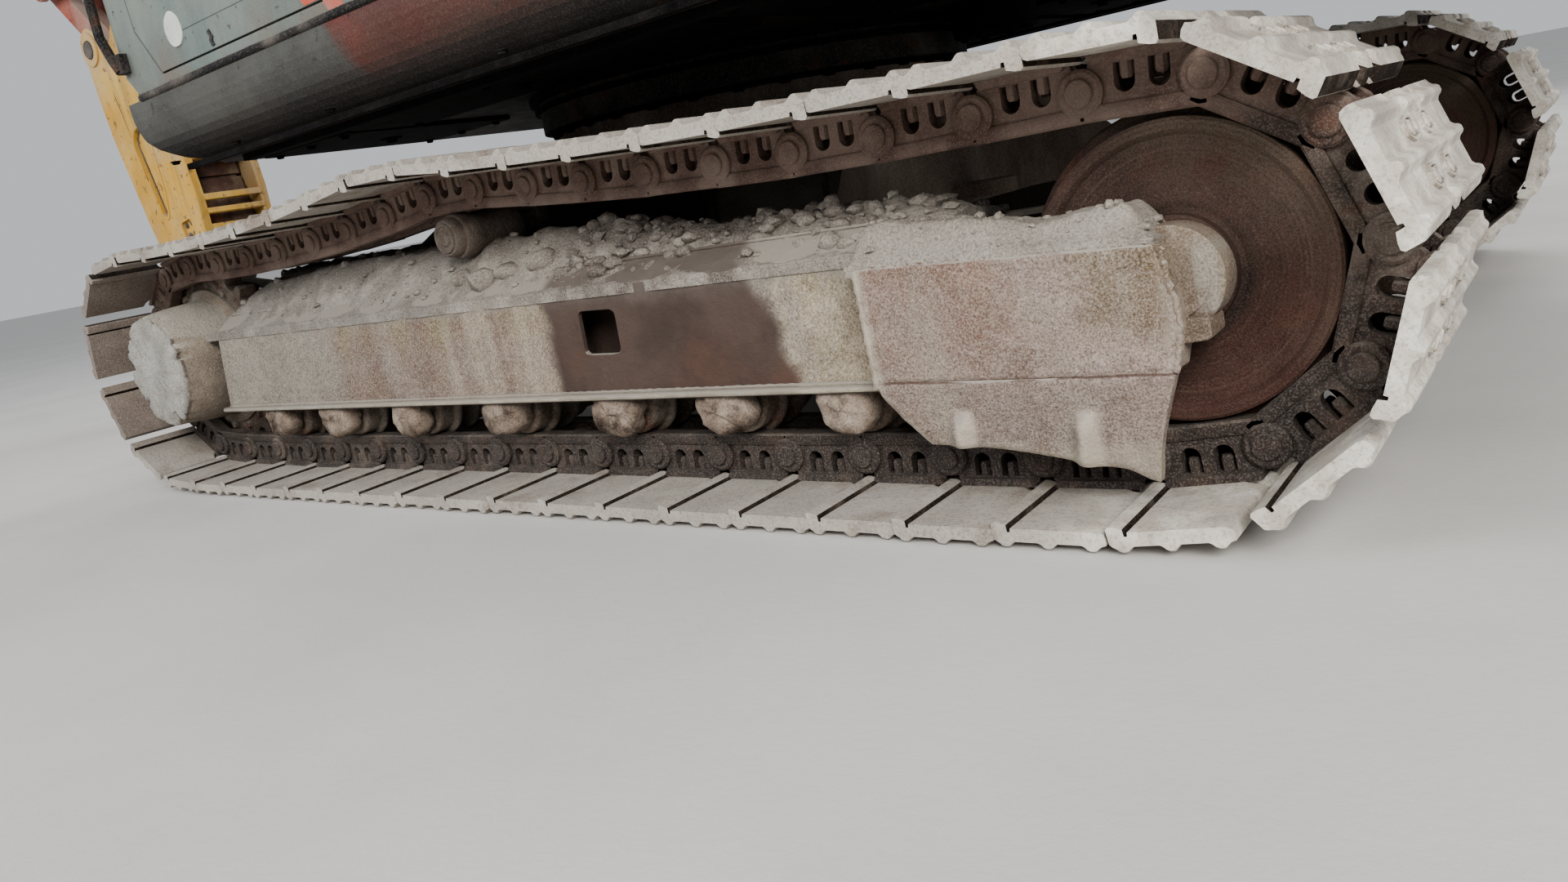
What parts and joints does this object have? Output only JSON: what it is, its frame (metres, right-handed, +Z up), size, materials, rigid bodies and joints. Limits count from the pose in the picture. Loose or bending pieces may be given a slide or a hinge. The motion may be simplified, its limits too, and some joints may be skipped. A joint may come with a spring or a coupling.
{
  "type": "crawler excavator with hydraulic breaker",
  "caption": "Tracked hydraulic excavator with rotating house, cab, boom, arm and a chisel breaker; worn, dusty and mud-caked undercarriage.",
  "frame": {"origin": "on the ground under the middle of the machine's overall box", "axes": "+X the way the house and boom face, +Y the cab's side, +Z up"},
  "size_m": [8.6001, 2.84, 5.0192],
  "materials": {
    "track_shoe_steel": "dry mud over worn steel",
    "link_steel": "rusty",
    "frame_paint": "mud-caked and rusty",
    "cast_parts": "rusty and muddy",
    "dark_steel": "dusty black",
    "orange_paint": "faded and dusty",
    "counterweight_paint": "dusty grey",
    "boom_paint": "faded and dusty",
    "grey_paint": "dusty",
    "window_glass": "dusty",
    "seat_fabric": "woven",
    "console_plastic": "moulded",
    "mirror_black": "moulded",
    "engine_iron": "oily",
    "black_steel": "satin",
    "rod_chrome": "polished",
    "yellow_paint": "chipped and dusty",
    "rusty_steel": "rusty",
    "chisel_steel": "worn"
  },
  "bodies": {
    "undercarriage": {"track_frame_left": "frame_paint", "track_frame_right": "frame_paint", "carbody": "frame_paint", "track_left": "track_shoe_steel", "track_right": "track_shoe_steel", "track_chains": "link_steel", "idlers": "cast_parts", "sprockets": "cast_parts", "final_drives": "cast_parts", "lower_rollers": "cast_parts", "carrier_rollers": "cast_parts", "slew_ring_inner": "dark_steel"},
    "house": {"slew_ring_outer": "dark_steel", "swing_frame": "dark_steel", "side_sills": "orange_paint", "cab_shell": "grey_paint", "cab_glass": "window_glass", "operator_seat": "seat_fabric", "control_consoles": "console_plastic", "left_housing": "orange_paint", "right_housing": "orange_paint", "toolbox": "grey_paint", "fuel_tank": "orange_paint", "hydraulic_tank": "orange_paint", "firewall": "dark_steel", "engine_block": "engine_iron", "exhaust_stack": "black_steel", "counterweight": "counterweight_paint", "handrails": "black_steel", "mirrors": "mirror_black"},
    "cab_door_leaf": {"cab_door": "grey_paint", "cab_door_glass": "window_glass"},
    "hood_lid": {"engine_hood": "orange_paint"},
    "left_panel": {"left_service_door": "orange_paint"},
    "right_panel": {"right_service_door": "orange_paint"},
    "boom_arm": {"boom": "boom_paint"},
    "boom_barrels": {"boom_cylinder_barrels": "boom_paint"},
    "boom_rods": {"boom_cylinder_rods": "rod_chrome"},
    "arm_barrel": {"arm_cylinder_barrel": "boom_paint"},
    "arm_rod": {"arm_cylinder_rod": "rod_chrome"},
    "dipper": {"arm": "boom_paint"},
    "tool_barrel": {"tool_cylinder_barrel": "boom_paint"},
    "tool_rod": {"tool_cylinder_rod": "rod_chrome"},
    "rocker": {"rocker_levers": "boom_paint"},
    "link": {"tool_link": "boom_paint"},
    "breaker": {"breaker_housing": "yellow_paint", "breaker_body": "rusty_steel", "breaker_chisel": "chisel_steel"}
  },
  "joints": [
    {"name": "slew", "type": "hinge", "parent": "undercarriage", "child": "house", "pos_m": [-1.6, 0, 0.95], "axis": [0, 0, 1], "continuous": true},
    {"name": "cab_door_swing", "type": "hinge", "parent": "house", "child": "cab_door_leaf", "pos_m": [-1.344, 1.314, 1.5], "axis": [0, 0, 1], "range_deg": [0, 150]},
    {"name": "left_service_door_swing", "type": "hinge", "parent": "house", "child": "left_panel", "pos_m": [-3.089, 1.304, 1.5], "axis": [0, 0, 1], "range_deg": [0, 100]},
    {"name": "right_service_door_swing", "type": "hinge", "parent": "house", "child": "right_panel", "pos_m": [-3.189, -1.304, 1.5], "axis": [0, 0, -1], "range_deg": [0, 100]},
    {"name": "engine_hood_lift", "type": "hinge", "parent": "house", "child": "hood_lid", "pos_m": [-2.474, 0, 2.095], "axis": [0, 1, 0], "range_deg": [0, 70]},
    {"name": "boom_lift", "type": "hinge", "parent": "house", "child": "boom_arm", "pos_m": [-1.45, 0, 1.76], "axis": [0, -1, 0], "range_deg": [-66, 34]},
    {"name": "boom_barrel_swing", "type": "hinge", "parent": "house", "child": "boom_barrels", "pos_m": [-0.98, 0, 1.25], "axis": [0, -1, 0], "range_deg": [-69, 36]},
    {"name": "boom_rod_slide", "type": "slide", "parent": "boom_barrels", "child": "boom_rods", "axis": [0.4612, 0, 0.8873], "range_m": [-0.73, 0.38]},
    {"name": "arm_swing", "type": "hinge", "parent": "boom_arm", "child": "dipper", "pos_m": [3.51532, 0, 4.45595], "axis": [0, 1, 0], "range_deg": [-118, 2]},
    {"name": "arm_barrel_swing", "type": "hinge", "parent": "boom_arm", "child": "arm_barrel", "pos_m": [0.45063, 0, 4.4419], "axis": [0, -1, 0], "range_deg": [-1, 8]},
    {"name": "arm_rod_slide", "type": "slide", "parent": "arm_barrel", "child": "arm_rod", "axis": [0.9921, 0, 0.1252], "range_m": [-1.39, 0.03]},
    {"name": "breaker_tilt", "type": "hinge", "parent": "dipper", "child": "breaker", "pos_m": [2.02171, 0, 1.97016], "axis": [0, 1, 0], "range_deg": [-15, 110]},
    {"name": "rocker_swing", "type": "hinge", "parent": "dipper", "child": "rocker", "pos_m": [2.28945, 0, 2.29927], "axis": [0, 1, 0], "range_deg": [-12, 85]},
    {"name": "link_swing", "type": "hinge", "parent": "rocker", "child": "link", "pos_m": [2.84945, 0, 2.30026], "axis": [0, 1, 0], "range_deg": [-58, 8]},
    {"name": "tool_barrel_swing", "type": "hinge", "parent": "dipper", "child": "tool_barrel", "pos_m": [3.86657, 0, 3.95323], "axis": [0, 1, 0], "range_deg": [-1, 3]},
    {"name": "tool_rod_slide", "type": "slide", "parent": "tool_barrel", "child": "tool_rod", "axis": [-0.5241, 0, -0.8517], "range_m": [-0.11, 0.76]}
  ],
  "couplings": [
    {"joint": "boom_barrel_swing", "follows": "boom_lift", "ratio": 0.9933},
    {"joint": "boom_rod_slide", "follows": "boom_lift", "m_per_rad": 0.61748},
    {"joint": "arm_barrel_swing", "follows": "arm_swing", "ratio": -0.06},
    {"joint": "arm_rod_slide", "follows": "arm_swing", "m_per_rad": 0.67036},
    {"joint": "rocker_swing", "follows": "breaker_tilt", "ratio": 0.76},
    {"joint": "link_swing", "follows": "breaker_tilt", "ratio": -0.52},
    {"joint": "tool_barrel_swing", "follows": "breaker_tilt", "ratio": 0.02},
    {"joint": "tool_rod_slide", "follows": "breaker_tilt", "m_per_rad": 0.38961}
  ]
}
